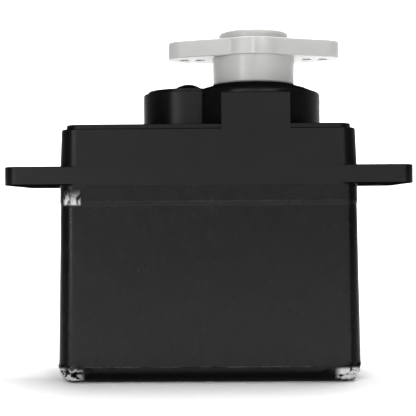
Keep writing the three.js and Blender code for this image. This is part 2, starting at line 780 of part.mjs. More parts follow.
function motorEndBell() {
  const radius = CAN_RADIUS - CAN_WALL - GAP;
  const flat = CAN_HALF_FLAT - CAN_WALL - GAP;
  const plug = flatted(radius, flat, CAN_BOTTOM_Z - 0.5, CAN_BOTTOM_Z + 1.0);
  const base = flatted(CAN_RADIUS, CAN_HALF_FLAT, 1.6, CAN_BOTTOM_Z - GAP);
  const boss = cylinder(1.7, 1.25, 1.7, 20, MOTOR_X);
  const recess = flatted(radius - 0.6, flat - 0.6, CAN_BOTTOM_Z + 0.3, CAN_BOTTOM_Z + 3);
  const slots = [-1, 1].flatMap((side) => {
    const span = [side * 2 - 0.45, side * 2 + 0.45];
    return [
      box(MOTOR_X + 2.15, MOTOR_X + 10, ...span, 2.0, 2.35),
      box(MOTOR_X + 2.15, MOTOR_X + 2.6, ...span, 2.0, 3.2),
    ];
  });
  return union([plug, base, boss]).subtract(
    union([recess, cylinder(1.15, 0, 5, 20, MOTOR_X), ...slots]),
  );
}

function motorBush(z0, z1) {
  return ring(1.15 - GAP, PIN_RADIUS + RUN, z0, z1, 20, MOTOR_X);
}

function magnet(side) {
  const facing = side > 0 ? 0 : Math.PI;
  const half = (46 * Math.PI) / 180;
  const outline = [
    ...arc(CAN_RADIUS - CAN_WALL - GAP - 0.03, facing - half, facing + half, 10, MOTOR_X),
    ...arc(3.05, facing + half, facing - half, 8, MOTOR_X),
  ];
  return prism(outline, 4.4, 11.8);
}

function armatureCore() {
  const poles = [0, 1, 2].flatMap((pole) => {
    const angle = (pole * 2 * Math.PI) / 3;
    const neck = box(0.5, 2.4, -0.5, 0.5, ...CORE_Z).rotate([0, 0, pole * 120]);
    const half = (47 * Math.PI) / 180;
    const shoe = prism(
      [...arc(2.8, angle - half, angle + half, 8), ...arc(2.2, angle + half, angle - half, 6)],
      ...CORE_Z,
    );
    return [neck, shoe];
  });
  return union([cylinder(1.05, ...CORE_Z, 18), ...poles])
    .subtract(cylinder(PIN_RADIUS + GAP, 0, 20, 16))
    .translate([MOTOR_X, 0, 0]);
}

function coil(pole) {
  const outer = box(1.2, 1.85, -1.02, 1.02, CORE_Z[0] - 0.5, CORE_Z[1] + 0.5);
  const inner = box(0, 3, -0.52, 0.52, CORE_Z[0] - GAP, CORE_Z[1] + GAP);
  return outer.subtract(inner).rotate([0, 0, pole * 120]).translate([MOTOR_X, 0, 0]);
}

function commutator() {
  const slots = [0, 1, 2].map((i) => box(0.85, 2, -0.08, 0.08, 2, 4.1).rotate([0, 0, i * 120]));
  return ring(1.0, PIN_RADIUS + GAP, 3.0, 4.3, 24)
    .subtract(union(slots))
    .translate([MOTOR_X, 0, 0]);
}

function brush(side) {
  const y = side * 1.06;
  const leaf = [
    [MOTOR_X - 1.4, y],
    [MOTOR_X + 1.6, y],
    [MOTOR_X + 2.6, side * 1.75],
    [MOTOR_X + 2.6, side * 1.9],
    [MOTOR_X + 1.5, y + side * 0.15],
    [MOTOR_X - 1.4, y + side * 0.15],
  ].map(([x, py]) => new THREE.Vector2(x, py));
  if (side < 0) leaf.reverse();
  return prism(leaf, 3.35, 4.05);
}

function motorTerminal(side) {
  const y = side * 2;
  const blade = box(MOTOR_X + 2.2, MOTOR_X + 5.1, y - 0.4, y + 0.4, 2.05, 2.3);
  const riser = box(MOTOR_X + 2.3, MOTOR_X + 2.5, y - 0.35, y + 0.35, 2.1, 3.3);
  return blade.add(riser);
}

function motorPinion() {
  return gear(FIRST_PINION_TEETH, FIRST_MODULE, PINION_SHIFT, 0, ...MOTOR_PINION_Z, MOTOR_X)
    .subtract(cylinder(PIN_RADIUS + 0.01, 14, 16, 16, MOTOR_X));
}

// ---------- electronics ----------

function circuitBoard() {
  const board = box(...BOARD_X, -BOARD_HALF_WIDTH, BOARD_HALF_WIDTH, ...BOARD_Z);
  const notches = [-1, 1].map((side) =>
    cylinder(1.5, 0, 10, 16, SCREW_X, side * SCREW_Y),
  );
  return board.subtract(union(notches));
}

function slab(cx, cy, halfLength, halfWidth, z0, z1) {
  return box(cx - halfLength, cx + halfLength, cy - halfWidth, cy + halfWidth, z0, z1);
}

function gullWingChip(cx, cy, length, width, pins) {
  const z = BOARD_Z[0] - GAP;
  const body = slab(cx, cy, length / 2, width / 2, z - 1.1, z - 0.1);
  const legs = Array.from({ length: pins }, (_, i) => {
    const x = cx - length / 2 + (length * (i + 0.5)) / pins;
    return slab(x, cy, 0.14, width / 2 + 0.55, z - 0.6, z - 0.4);
  });
  return body.add(union(legs));
}

function chipPart(cx, cy, length, width, height) {
  const z = BOARD_Z[1] + GAP;
  const waist = slab(cx, cy, length / 4, width, z + height * 0.9, z + height * 2);
  return slab(cx, cy, length / 2, width / 2, z, z + height).subtract(waist);
}

// ---------- assembly ----------

const servo = new THREE.Group();

function add(name, solid, makeMaterial) {
  const mesh = new THREE.Mesh(toGeometry(solid), makeMaterial());
  mesh.name = name;
  servo.add(mesh);
}

add("upper_case", upperCase(), blackPlastic);
add("middle_case", middleCase(), blackPlastic);
add("bottom_cover", bottomCover(), blackPlastic);
add("shrink_film", shrinkFilm(), blackFilm);
add("cable_outlet", cableOutlet(), blackInsulation);

SCREW_CORNERS.forEach(([x, y], i) => add(`case_screw_${i + 1}`, caseScrew(x, y), steel));

const outputBush = ring(
  BUSH_RADIUS,
  JOURNAL_RADIUS + RUN,
  TOWER_ROOF_Z,
  BUSH_TOP_Z,
  32,
  OUTPUT_X,
);
add("output_bush", outputBush, brass);
add("idler_pin", cylinder(PIN_RADIUS, PLATE_UNDER_Z + 0.25, 22.3, 20, IDLER_X), steel);

add("output_gear", outputGear(), gearNylon);
add("output_spindle", outputSpindle(), steel);
add("servo_horn", servoHorn(), whiteNylon);
add("horn_screw", hornScrew(), steel);

const gear1 = compoundGear(
  IDLER_X,
  FIRST_WHEEL_TEETH,
  FIRST_MODULE,
  GEAR_1_WHEEL_Z,
  GEAR_1_TOP_Z,
  Math.PI,
  HUB_UNDER_Z,
);
const gear2 = compoundGear(
  OUTPUT_X,
  WHEEL_TEETH,
  TRAIN_MODULE,
  GEAR_2_WHEEL_Z,
  GEAR_2_TOP_Z,
  Math.PI,
  HUB_UNDER_Z,
);
const gear3 = compoundGear(
  IDLER_X,
  WHEEL_TEETH,
  TRAIN_MODULE,
  GEAR_3_WHEEL_Z,
  GEAR_3_TOP_Z,
  0,
  GEAR_1_TOP_Z + 0.05,
);
add("gear_1", gear1, gearNylon);
add("gear_2", gear2, gearNylon);
add("gear_3", gear3, gearNylon);

add("motor_can", motorCan(), steel);
add("motor_end_bell", motorEndBell(), gearNylon);
add("motor_bush_top", motorBush(12.3, 13.8), brass);
add("motor_bush_bottom", motorBush(1.3, 2.6), brass);
add("motor_magnet_1", magnet(-1), ferrite);
add("motor_magnet_2", magnet(1), ferrite);
add("motor_brush_1", brush(-1), copper);
add("motor_brush_2", brush(1), copper);
add("motor_terminal_1", motorTerminal(-1), brass);
add("motor_terminal_2", motorTerminal(1), brass);
add("motor_shaft", cylinder(PIN_RADIUS, ...SHAFT_Z, 20, MOTOR_X), steel);
add("motor_pinion", motorPinion(), brass);
add("armature_core", armatureCore(), steel);
[0, 1, 2].forEach((pole) => add(`armature_coil_${pole + 1}`, coil(pole), copper));
add("commutator", commutator(), copper);

add("pot_housing", potHousing(), phenolic);
add("pot_cover", potCover(), steel);
add("pot_track", potTrack(), chipBlack);
add("pot_rotor", potRotor(), gearNylon);
add("pot_wiper", potWiper(), brass);
[-1.6, 0, 1.6].forEach((y, i) => add(`pot_terminal_${i + 1}`, potTerminal(y), brass));

add("circuit_board", circuitBoard(), boardGreen);
add("control_chip", gullWingChip(3.0, 0, 4.8, 3.9, 8), chipBlack);
add("driver_chip_1", gullWingChip(7.6, -1.8, 2.2, 1.4, 3), chipBlack);
add("driver_chip_2", gullWingChip(7.6, 1.8, 2.2, 1.4, 3), chipBlack);
add("smoothing_capacitor", chipPart(4.0, 2.6, 3.0, 1.6, 1.5), ceramic);
[-3.0, -1.6, -0.2].forEach((y, i) =>
  add(`resistor_${i + 1}`, chipPart(3.4, y, 1.6, 0.8, 0.45), chipBlack),
);

[-1, 1].forEach((side, i) => {
  const x = MOTOR_X + 5.0;
  const y = side * 2;
  const lead = tubeAlong(
    [
      [x - 0.2, y, 2.6],
      [x - 0.2, y, 3.4],
      [x - 0.2, y * 1.15, 4.6],
      [x - 0.2, y * 1.4, 6.2],
      [x + 0.15, y * 1.6, 7.1],
      [x + 1.2, y * 1.75, 7.1],
      [x + 1.5, y * 1.75, 6.3],
    ],
    0.26,
  );
  add(`motor_lead_${i + 1}`, lead, side < 0 ? blackInsulation : redInsulation);
});

export default servo;
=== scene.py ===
"""Sub-micro servo motor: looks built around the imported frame."""
import math

import bpy
import numpy as np
from mathutils import Matrix, Vector, noise


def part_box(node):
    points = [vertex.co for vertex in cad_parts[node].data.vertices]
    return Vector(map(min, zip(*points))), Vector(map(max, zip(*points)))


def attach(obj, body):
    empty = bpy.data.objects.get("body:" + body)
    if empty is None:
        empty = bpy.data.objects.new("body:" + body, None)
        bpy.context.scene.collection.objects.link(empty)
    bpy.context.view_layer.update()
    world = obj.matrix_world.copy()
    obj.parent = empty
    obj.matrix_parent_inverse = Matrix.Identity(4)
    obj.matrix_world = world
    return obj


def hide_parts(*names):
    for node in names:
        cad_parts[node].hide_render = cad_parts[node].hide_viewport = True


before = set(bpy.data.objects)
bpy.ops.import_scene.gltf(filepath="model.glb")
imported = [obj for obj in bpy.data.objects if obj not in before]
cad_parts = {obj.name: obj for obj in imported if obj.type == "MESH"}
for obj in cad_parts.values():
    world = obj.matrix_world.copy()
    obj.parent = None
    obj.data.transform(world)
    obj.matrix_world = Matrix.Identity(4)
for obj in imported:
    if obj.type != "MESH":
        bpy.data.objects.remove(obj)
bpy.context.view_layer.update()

MM = 0.001

# ---------- sizes, in millimetres, read from the frame ----------


def box_mm(node):
    low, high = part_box(node)
    return np.array(low) / MM, np.array(high) / MM


UPPER_LOW, UPPER_HIGH = box_mm("upper_case")
COVER_HIGH = box_mm("bottom_cover")[1]
HORN_HIGH = box_mm("servo_horn")[1]
SPINDLE_LOW, SPINDLE_HIGH = box_mm("output_spindle")
PIN_LOW, PIN_HIGH = box_mm("idler_pin")
BUSH_LOW, BUSH_HIGH = box_mm("output_bush")

OUTPUT_X = (SPINDLE_LOW[0] + SPINDLE_HIGH[0]) / 2
IDLER_X = (PIN_LOW[0] + PIN_HIGH[0]) / 2
CASE_HALF_LENGTH = COVER_HIGH[0]
CASE_HALF_WIDTH = COVER_HIGH[1]
SEAM_Z = UPPER_LOW[2]
TAB_HALF_SPAN = UPPER_HIGH[0] - 0.15  # a little short of the CAD's tabs, as in the photo

# sizes of the upper case that its box doesn't give
SHOULDER_Z = 19.33
SHOULDER_INSET = 0.12
PLATEAU_Z = 19.68
PLATEAU_INSET = 0.35
ROOF_UNDER_Z = 18.7
UPPER_CORNER = 1.5
LOWER_CORNER = 1.2
CASE_WALL = 1.0
CAVITY_CORNER = 0.8
TAB_UNDER_Z = 15.05
TAB_TOP_Z = 16.49
TAB_HALF_WIDTH = 5.8
TAB_CORNER = 1.05
TAB_HOLE_X = 13.85
TAB_HOLE_RADIUS = 1.0
TAB_SLOT_HALF_WIDTH = 0.6
TAB_EDGE = 0.12
BOSS_RADIUS = 3.63
BOSS_STEP_Z = 22.40
BOSS_TOP_RADIUS = 3.26
BOSS_TOP_Z = 22.64
BOSS_CAP_RADIUS = 1.37
BOSS_CAP_HEIGHT = 0.64
BOSS_BORE_RADIUS = 2.5
TOWER_RADIUS = 5.34
TOWER_WALL_TOP_Z = 22.48
TOWER_CONE_MIDDLE = (4.15, 22.85)  # radius and height halfway up the tower's sloping top
TOWER_RING_RADIUS = 3.45
TOWER_CONE_TOP_Z = 23.05
TOWER_RING_TOP_Z = 23.1
TOWER_BORE_RADIUS = 4.5
BUSH_CLEARANCE = 0.02
WEB_HALF_WIDTH = 2.6
WEB_TOP_Z = 22.05
WEB_LEAN = 0.12
WEB_EDGE = 0.1

# sizes of the film; an offset is how far its outer face stands out from the case's side
FILM_THICKNESS = 0.1
FILM_TOP_Z = 14.99
FILM_LEDGE = 0.13
FILM_FOOT_OFFSET = 0.16
FILM_SEAM_OFFSET = -0.05
FILM_UPPER_OFFSET = -0.01
EDGE_OFFSET = 0.15
EDGE_RADIUS = 1.22
FILM_LIP = 0.8
FILM_LIP_STEPS = 8
FILM_CORNER_STEPS = 30
FILM_LONG_STEPS = 150
FILM_SHORT_STEPS = 56
FOLD_Z = 1.26
WINDOW_HALF_WIDTH = 2.1
WINDOW_LOW_Z = 2.0
WINDOW_HIGH_Z = 4.1
FRONT_LEFT = 2
FRONT_RIGHT = 3
# the gathers at the front left corner: distance from its middle, lean and height of each
GATHER_STROKES = [(0.35, 0.0, 0.8), (0.80, -0.05, 1.0), (1.22, -0.12, 0.9)]

# sizes of the horn
HORN_BOTTOM_Z = 23.14
PLATE_UNDER_Z = 25.25
PLATE_TOP_Z = 26.6
HUB_TOP_Z = 27.34
COLLAR_RADIUS = 3.28
HUB_RADIUS = 2.82
HUB_FILLET = 0.26
DISC_RADIUS = 3.46
DISC_EDGE = 0.07
ARM_ROOT_HALF_WIDTH = 3.56
ARM_TIP_RADIUS = 1.65
ARM_EDGE = 0.08
ARM_HOLE_RADIUS = 0.4
ARM_HOLES_X = (4.3, 5.6)
SPLINE_TEETH = 21
SPLINE_OUTER = 2.34
SPLINE_INNER = 2.18
SOCKET_TOP_Z = 26.15
SCREW_HOLE_RADIUS = 1.05
SCREW_RECESS_RADIUS = 2.05
SCREW_RECESS_Z = 26.5


# ---------- mesh helpers ----------


def make_object(name, vertices, faces):
    mesh = bpy.data.meshes.new(name)
    mesh.from_pydata(np.asarray(vertices, dtype=float).tolist(), [], faces)
    mesh.validate()
    obj = bpy.data.objects.new(name, mesh)
    bpy.context.scene.collection.objects.link(obj)
    return obj


def arc(radius, start, end, steps, cx=0.0, cy=0.0):
    angles = np.linspace(start, end, steps + 1)
    return [(cx + radius * math.cos(a), cy + radius * math.sin(a)) for a in angles]


def circle(radius, sides, cx):
    return arc(radius, 0, 2 * math.pi, sides, cx)[:-1]


def rounded_rectangle(half_length, half_width, radius, steps):
    x, y = half_length - radius, half_width - radius
    points = []
    for i, (cx, cy) in enumerate([(x, y), (-x, y), (-x, -y), (x, -y)]):
        points += arc(radius, i * math.pi / 2, (i + 1) * math.pi / 2, steps, cx, cy)
    return points


def loft(name, sections):
    """A closed mesh through (z, outline) sections with the same number of points each."""
    count = len(sections[0][1])
    vertices = [(x, y, z) for z, outline in sections for x, y in outline]
    faces = []
    for level in range(len(sections) - 1):
        for i in range(count):
            a, b = level * count + i, level * count + (i + 1) % count
            faces.append((a, b, b + count, a + count))
    top = (len(sections) - 1) * count
    faces.append(tuple(reversed(range(count))))
    faces.append(tuple(range(top, top + count)))
    return make_object(name, vertices, faces)


def drafted_box(name, half_length, half_width, radius, levels, steps=10):
    """A rounded box whose sides stand out by the offset of each (z, offset) level."""
    sections = []
    for z, offset in levels:
        corner = max(radius + offset, 0.08)
        outline = rounded_rectangle(half_length + offset, half_width + offset, corner, steps)
        sections.append((z, outline))
    return loft(name, sections)


def turned(name, profile, sides, cx):
    """A solid of revolution from (radius, z) points, the first and last of them on the axis."""
    vertices = [(cx, 0.0, profile[0][1])]
    for radius, z in profile[1:-1]:
        vertices += [(x, y, z) for x, y in circle(radius, sides, cx)]
    vertices.append((cx, 0.0, profile[-1][1]))
    rings = len(profile) - 2
    faces = [(0, 1 + (i + 1) % sides, 1 + i) for i in range(sides)]
    for ring in range(rings - 1):
        base = 1 + ring * sides
        for i in range(sides):
            j = (i + 1) % sides
            faces.append((base + i, base + j, base + sides + j, base + sides + i))
    last = 1 + (rings - 1) * sides
    faces += [(last + i, last + (i + 1) % sides, len(vertices) - 1) for i in range(sides)]
    return make_object(name, vertices, faces)


def cylinder(name, radius, z0, z1, sides, cx):
    outline = circle(radius, sides, cx)
    return loft(name, [(z0, outline), (z1, outline)])


def block(name, x0, x1, y0, y1, z0, z1):
    outline = [(x0, y0), (x1, y0), (x1, y1), (x0, y1)]
    return loft(name, [(z0, outline), (z1, outline)])


def fillet(corner_radius, corner_z, radius, steps=5):
    """Profile points that round a turned solid's outer top edge at (corner_radius, corner_z)."""
    points = []
    for i in range(steps + 1):
        angle = i * math.pi / 2 / steps
        out = corner_radius - radius + radius * math.cos(angle)
        up = corner_z - radius + radius * math.sin(angle)
        points.append((out, up))
    return points


def top_fillet_levels(z, offset, radius):
    """Levels that round a drafted box's top edge, ending at height z."""
    return [(height, out) for out, height in fillet(offset, z, radius)]


def bottom_fillet_levels(z, offset, radius):
    """Levels that round a drafted box's bottom edge, starting at height z."""
    upside_down = reversed(top_fillet_levels(z, offset, radius))
    return [(2 * z - height, out) for height, out in upside_down]


def combine(base, tools, operation):
    """Joins the tools to the base, or cuts them from it, and deletes the tools."""
    for tool in tools:
        modifier = base.modifiers.new("combine", "BOOLEAN")
        modifier.operation = operation
        modifier.solver = "MANIFOLD"
        modifier.object = tool
    graph = bpy.context.evaluated_depsgraph_get()
    mesh = bpy.data.meshes.new_from_object(base.evaluated_get(graph))
    base.modifiers.clear()
    old = base.data
    base.data = mesh
    bpy.data.meshes.remove(old)
    for tool in tools:
        bpy.data.objects.remove(tool)


def smooth(obj, angle):
    """Smooth shading, apart from edges sharper than the angle, in degrees."""
    obj.data.polygons.foreach_set("use_smooth", [True] * len(obj.data.polygons))
    obj.data.set_sharp_from_angle(angle=math.radians(angle))


def finish_piece(obj, body, nodes, material, angle=32):
    """Shades a piece, gives it its material, and puts it on its body in place of CAD nodes."""
    obj.data.transform(Matrix.Scale(MM, 4))
    smooth(obj, angle)
    obj.data.materials.clear()
    obj.data.materials.append(material)
    normals = obj.modifiers.new("normals", "WEIGHTED_NORMAL")
    normals.weight = 90
    normals.keep_sharp = True
    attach(obj, body)
    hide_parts(*nodes)


# ---------- materials ----------


def set_stops(ramp, levels):
    """Gives a colour ramp grey levels at (position, level) stops."""
    for position, _ in levels[1:-1]:
        ramp.elements.new(position)
    ramp.elements[0].position = levels[0][0]
    ramp.elements[-1].position = levels[-1][0]
    for element, (position, level) in zip(ramp.elements, levels):
        assert abs(element.position - position) < 1e-6
        element.color = (level, level, level, 1)


class Shader:
    """A Principled material and short ways to add procedural patterns to it."""

    def __init__(self, name, **values):
        self.material = bpy.data.materials.new(name)
        self.material.use_nodes = True
        self.nodes = self.material.node_tree.nodes
        self.links = self.material.node_tree.links
        self.surface = self.nodes["Principled BSDF"]
        self.coordinates = self.nodes.new("ShaderNodeTexCoord").outputs["Object"]
        self.bump_normal = None
        for key, value in values.items():
            self.surface.inputs[key.replace("_", " ")].default_value = value

    def noise(self, size_mm, detail=3.0, roughness=0.5, stretch=(1, 1, 1), distortion=0.0):
        """Noise whose features are about size_mm across, as a 0 to 1 factor."""
        texture = self.nodes.new("ShaderNodeTexNoise")
        texture.inputs["Scale"].default_value = 1.0
        texture.inputs["Detail"].default_value = detail
        texture.inputs["Roughness"].default_value = roughness
        texture.inputs["Distortion"].default_value = distortion
        self.place(texture, size_mm, stretch)
        return texture.outputs["Fac"]

    def cell_edges(self, size_mm):
        """The distance to the edge of irregular cells about size_mm across."""
        texture = self.nodes.new("ShaderNodeTexVoronoi")
        texture.feature = "DISTANCE_TO_EDGE"
        texture.inputs["Scale"].default_value = 1.0
        self.place(texture, size_mm)
        return texture.outputs["Distance"]

    def layers(self, scale, distortion):
        """Level bands up the object, as a 0 to 1 factor."""
        texture = self.nodes.new("ShaderNodeTexWave")
        texture.wave_type = "BANDS"
        texture.bands_direction = "Z"
        texture.inputs["Scale"].default_value = scale
        texture.inputs["Distortion"].default_value = distortion
        self.place(texture, 1.0)
        return texture.outputs["Fac"]

    def place(self, texture, size_mm, stretch=(1, 1, 1)):
        """Lays a texture out in the object's own space, with size_mm as its unit."""
        mapping = self.nodes.new("ShaderNodeMapping")
        mapping.inputs["Scale"].default_value = [s / (size_mm * MM) for s in stretch]
        self.links.new(self.coordinates, mapping.inputs["Vector"])
        self.links.new(mapping.outputs["Vector"], texture.inputs["Vector"])

    def ramp(self, factor, low, high, start=0.3, end=0.7):
        """The factor spread between two colours or two numbers."""
        ramp = self.nodes.new("ShaderNodeValToRGB")
        ramp.color_ramp.elements[0].position = start
        ramp.color_ramp.elements[1].position = end
        for element, value in zip(ramp.color_ramp.elements, (low, high)):
            colour = (value, value, value) if isinstance(value, (int, float)) else value
            element.color = (*colour, 1.0)
        self.links.new(factor, ramp.inputs["Fac"])
        return ramp.outputs["Color"]

    def stops(self, factor, levels):
        """The factor turned into a grey level through (position, level) stops."""
        ramp = self.nodes.new("ShaderNodeValToRGB")
        set_stops(ramp.color_ramp, levels)
        self.links.new(factor, ramp.inputs["Fac"])
        return ramp.outputs["Color"]

    def math(self, operation, *values):
        """A math node on sockets and numbers."""
        node = self.nodes.new("ShaderNodeMath")
        node.operation = operation
        for socket, value in zip(node.inputs, values):
            if isinstance(value, (int, float)):
                socket.default_value = value
            else:
                self.links.new(value, socket)
        return node.outputs[0]

    def fade(self, value, start, end):
        """0 at start rising smoothly to 1 at end; start may be the larger."""
        node = self.nodes.new("ShaderNodeMapRange")
        node.interpolation_type = "SMOOTHSTEP"
        node.inputs["From Min"].default_value = start
        node.inputs["From Max"].default_value = end
        self.links.new(value, node.inputs["Value"])
        return node.outputs["Result"]

    def edge(self, place, start, end):
        """0 where an axis is at start, rising smoothly to 1 at end, both in mm."""
        return self.fade(place, start * MM, end * MM)

    def within(self, place, origin, rise, fall):
        """1 between two edges; each is where it is 0 and where it is 1, in mm from the origin."""
        up = self.edge(place, origin + rise[0], origin + rise[1])
        down = self.edge(place, origin + fall[0], origin + fall[1])
        return self.math("MULTIPLY", up, down)

    def product(self, first, *others):
        """All the factors multiplied together."""
        for other in others:
            first = self.math("MULTIPLY", first, other)
        return first

    def mix(self, factor, low, high):
        """A blend from the colour socket low to the plain colour high."""
        node = self.nodes.new("ShaderNodeMix")
        node.data_type = "RGBA"
        low_socket, high_socket = [socket for socket in node.inputs if socket.type == "RGBA"]
        self.links.new(factor, node.inputs["Factor"])
        self.links.new(low, low_socket)
        high_socket.default_value = (*high, 1)
        return [socket for socket in node.outputs if socket.type == "RGBA"][0]

    def axes(self):
        """The x, y and z of a point in the object's own space, in metres."""
        node = self.nodes.new("ShaderNodeSeparateXYZ")
        self.links.new(self.coordinates, node.inputs["Vector"])
        return node.outputs

    def colour(self, factor, low, high, start=0.3, end=0.7):
        self.links.new(self.ramp(factor, low, high, start, end), self.surface.inputs["Base Color"])

    def rough(self, factor, low, high, start=0.3, end=0.7):
        self.links.new(self.ramp(factor, low, high, start, end), self.surface.inputs["Roughness"])

    def bump(self, height, depth_mm, strength=1.0):
        """Relief on top of any that was given before."""
        node = self.nodes.new("ShaderNodeBump")
        node.inputs["Strength"].default_value = strength
        node.inputs["Distance"].default_value = depth_mm * MM
        self.links.new(height, node.inputs["Height"])
        if self.bump_normal is not None:
            self.links.new(self.bump_normal, node.inputs["Normal"])
        self.bump_normal = node.outputs["Normal"]
        self.links.new(self.bump_normal, self.surface.inputs["Normal"])

    def gloss(self, walls, top, slopes, underside, corners):
        """Sets the gloss by the way a face looks, with corners as a share of the walls' gloss.

        A height of 0 looks straight down, 0.5 level and 1 straight up. Across is 0 on the long
        faces and 1 on the ends, and the upright corners lie between.
        """
        axes = self.nodes.new("ShaderNodeSeparateXYZ")
        geometry = self.nodes.new("ShaderNodeNewGeometry")
        self.links.new(geometry.outputs["True Normal"], axes.inputs["Vector"])
        height = self.math("MULTIPLY_ADD", axes.outputs["Z"], 0.5, 0.5)
        by_height = [(0.30, underside), (0.45, walls), (0.64, walls)]
        by_height += [(0.78, slopes), (0.985, slopes), (1.0, top)]
        across = self.math("ABSOLUTE", axes.outputs["X"])
        by_side = [(0.28, 1.0), (0.42, corners), (0.975, corners), (0.995, 1.0)]
        level = self.product(self.stops(height, by_height), self.stops(across, by_side))
        self.links.new(level, self.surface.inputs["Specular IOR Level"])


def moulded_black():
    """Black glass-filled nylon from a finely spark-eroded mould."""
    shader = Shader("moulded_black", IOR=1.5)
    shader.colour(shader.noise(2.5, 4), (0.0024, 0.0024, 0.0025), (0.0036, 0.0036, 0.0038))
    shader.rough(shader.noise(0.5, 3), 0.32, 0.42)
    shader.bump(shader.noise(0.09, 4, 0.6), 0.004)
    shader.bump(shader.noise(0.7, 6, 0.62), 0.005)
    shader.bump(shader.noise(3.0, 2), 0.02)
    shader.gloss(walls=0.26, top=0.25, slopes=0.0, underside=0.0, corners=0.22)
    return shader.material


def film_painted_glints(shader):
    """Where painted highlights make the film pale, from 0 to 1: glints on its gathered corners,
    dashes along its fold and a line along its seam.
    """
    x, y, z = shader.axes()
    side = shader.math("ABSOLUTE", x)
    end = CASE_HALF_LENGTH
    front = shader.edge(y, 1.8 - CASE_HALF_WIDTH, 0.8 - CASE_HALF_WIDTH)

    glint_scatter = shader.noise(0.8, 2, 0.5, stretch=(1, 1, 1.5), distortion=0.5)
    # painted glints: pale patches on the gathered corners at the foot stand in for highlights
    foot_corner_glints = shader.product(
        shader.within(z, 0.0, rise=(0.1, 0.3), fall=(1.25, 0.95)),
        shader.edge(side, end - 2.0, end - 1.4),
        shader.fade(glint_scatter, 0.40, 0.50),
    )
    # painted glints: pale strokes on the front left corner just above the seam stand in for
    # highlights
    strokes = shader.noise(0.38, 3, 0.6, stretch=(1, 1, 0.45), distortion=0.8)
    seam_corner_glints = shader.product(
        shader.within(z, SEAM_Z, rise=(-0.2, 0.0), fall=(1.15, -0.15)),
        shader.within(x, -end, rise=(1.8, 1.6), fall=(0.3, 0.6)),
        shader.fade(strokes, 0.34, 0.62),
    )
    corner_glints = shader.math("MULTIPLY", shader.math("ADD", foot_corner_glints, seam_corner_glints), front)

    # painted highlight: pale dashes along the fold at the foot stand in for glints
    dashes = shader.noise(2.2, 5, 0.7, stretch=(1, 1, 0.01))
    fold = shader.product(
        shader.within(z, FOLD_Z, rise=(-0.07, -0.02), fall=(0.08, 0.02)),
        shader.fade(dashes, 0.42, 0.62),
        shader.edge(side, end - 1.6, end - 2.9),
    )
    # painted highlight: a faint pale line along the bead just above the seam
    seam_highlight = shader.product(
        shader.within(z, SEAM_Z, rise=(0.01, 0.09), fall=(0.27, 0.15)),
        shader.edge(side, end - 1.2, end - 1.6),
        shader.fade(shader.noise(3.0, 4, 0.6), 0.25, 0.7),
    )
    # all the painted highlights of the film, summed
    painted_glints = shader.math("MULTIPLY_ADD", fold, 0.06, corner_glints)
    return shader.math("MULTIPLY_ADD", seam_highlight, 0.018, painted_glints)


def shrink_film_material():
    """Thin black shrink film, faintly rippled and softly glossy, with highlights painted pale on
    its gathered corners, its fold and its seam.
    """
    shader = Shader("shrink_film", IOR=1.5)
    dark = shader.ramp(shader.noise(1.6, 5), (0.0023, 0.0023, 0.0024), (0.0034, 0.0034, 0.0036))
    # pale is the colour of the painted highlights
    pale = (0.62, 0.62, 0.62)
    colour = shader.mix(film_painted_glints(shader), dark, pale)
    shader.links.new(colour, shader.surface.inputs["Base Color"])
    fibres = shader.noise(0.7, 6, 0.62, stretch=(1, 1, 0.7))
    shader.rough(fibres, 0.20, 0.30)
    shader.bump(fibres, 0.006)
    shader.bump(shader.noise(0.22, 5, 0.65), 0.003)
    shader.gloss(walls=0.26, top=0.4, slopes=0.3, underside=0.03, corners=0.2)
    return shader.material


def white_nylon():
    """Natural white nylon: a little light passes into it."""
    shader = Shader(
        "white_nylon",
        IOR=1.53,
        Subsurface_Weight=0.25,
        Subsurface_Radius=(1.0, 0.9, 0.75),
        Subsurface_Scale=0.0009,
        Coat_Weight=0.4,
        Coat_Roughness=0.22,
    )
    shader.colour(shader.noise(3.0, 3), (0.45, 0.45, 0.44), (0.49, 0.49, 0.48))
    shader.rough(shader.noise(0.6, 3), 0.30, 0.42)
    shader.bump(shader.noise(0.14, 3), 0.003)
    shader.gloss(walls=0.5, top=0.3, slopes=0.2, underside=0.1, corners=1.0)
    return shader.material


def gear_nylon():
    """Creamier nylon, for the gears and the motor's end bell."""
    shader = Shader(
        "gear_nylon",
        IOR=1.53,
        Subsurface_Weight=0.25,
        Subsurface_Radius=(1.0, 0.85, 0.6),
        Subsurface_Scale=0.0008,
    )
    shader.colour(shader.noise(1.2, 3), (0.66, 0.63, 0.54), (0.76, 0.73, 0.64))
    shader.rough(shader.noise(0.4, 3), 0.32, 0.48)
    shader.bump(shader.noise(0.1, 3), 0.003)
    return shader.material


def metal(name, low, high, rough_low, rough_high, grain=(1, 1, 0.08)):
    """A metal with fine tool marks, which grain draws out along an axis."""
    shader = Shader(name, Metallic=1.0)
    shader.colour(shader.noise(0.9, 3), low, high)
    shader.rough(shader.noise(0.3, 4), rough_low, rough_high)
    shader.bump(shader.noise(0.08, 2, stretch=grain), 0.001)
    return shader.material


def matt(name, low, high, rough_low, rough_high, metallic=0.0):
    """A plain matt material with a fine grain."""
    grain_mm = 0.15
    shader = Shader(name, Metallic=metallic)
    shader.colour(shader.noise(grain_mm * 6, 4), low, high)
    shader.rough(shader.noise(grain_mm * 3, 3), rough_low, rough_high)
    shader.bump(shader.noise(grain_mm, 3), 0.004)
    return shader.material


def wound_copper():
    """Enamelled wire laid side by side round a pole."""
    shader = Shader("wound_copper", Metallic=0.85, Coat_Weight=0.6, Coat_Roughness=0.15)
    turns = shader.layers(scale=2.2, distortion=0.4)
    shader.colour(turns, (0.25, 0.07, 0.025), (0.56, 0.21, 0.09), 0.15, 0.8)
    shader.rough(shader.noise(0.3, 2), 0.25, 0.4)
    shader.bump(turns, 0.05)
    return shader.material


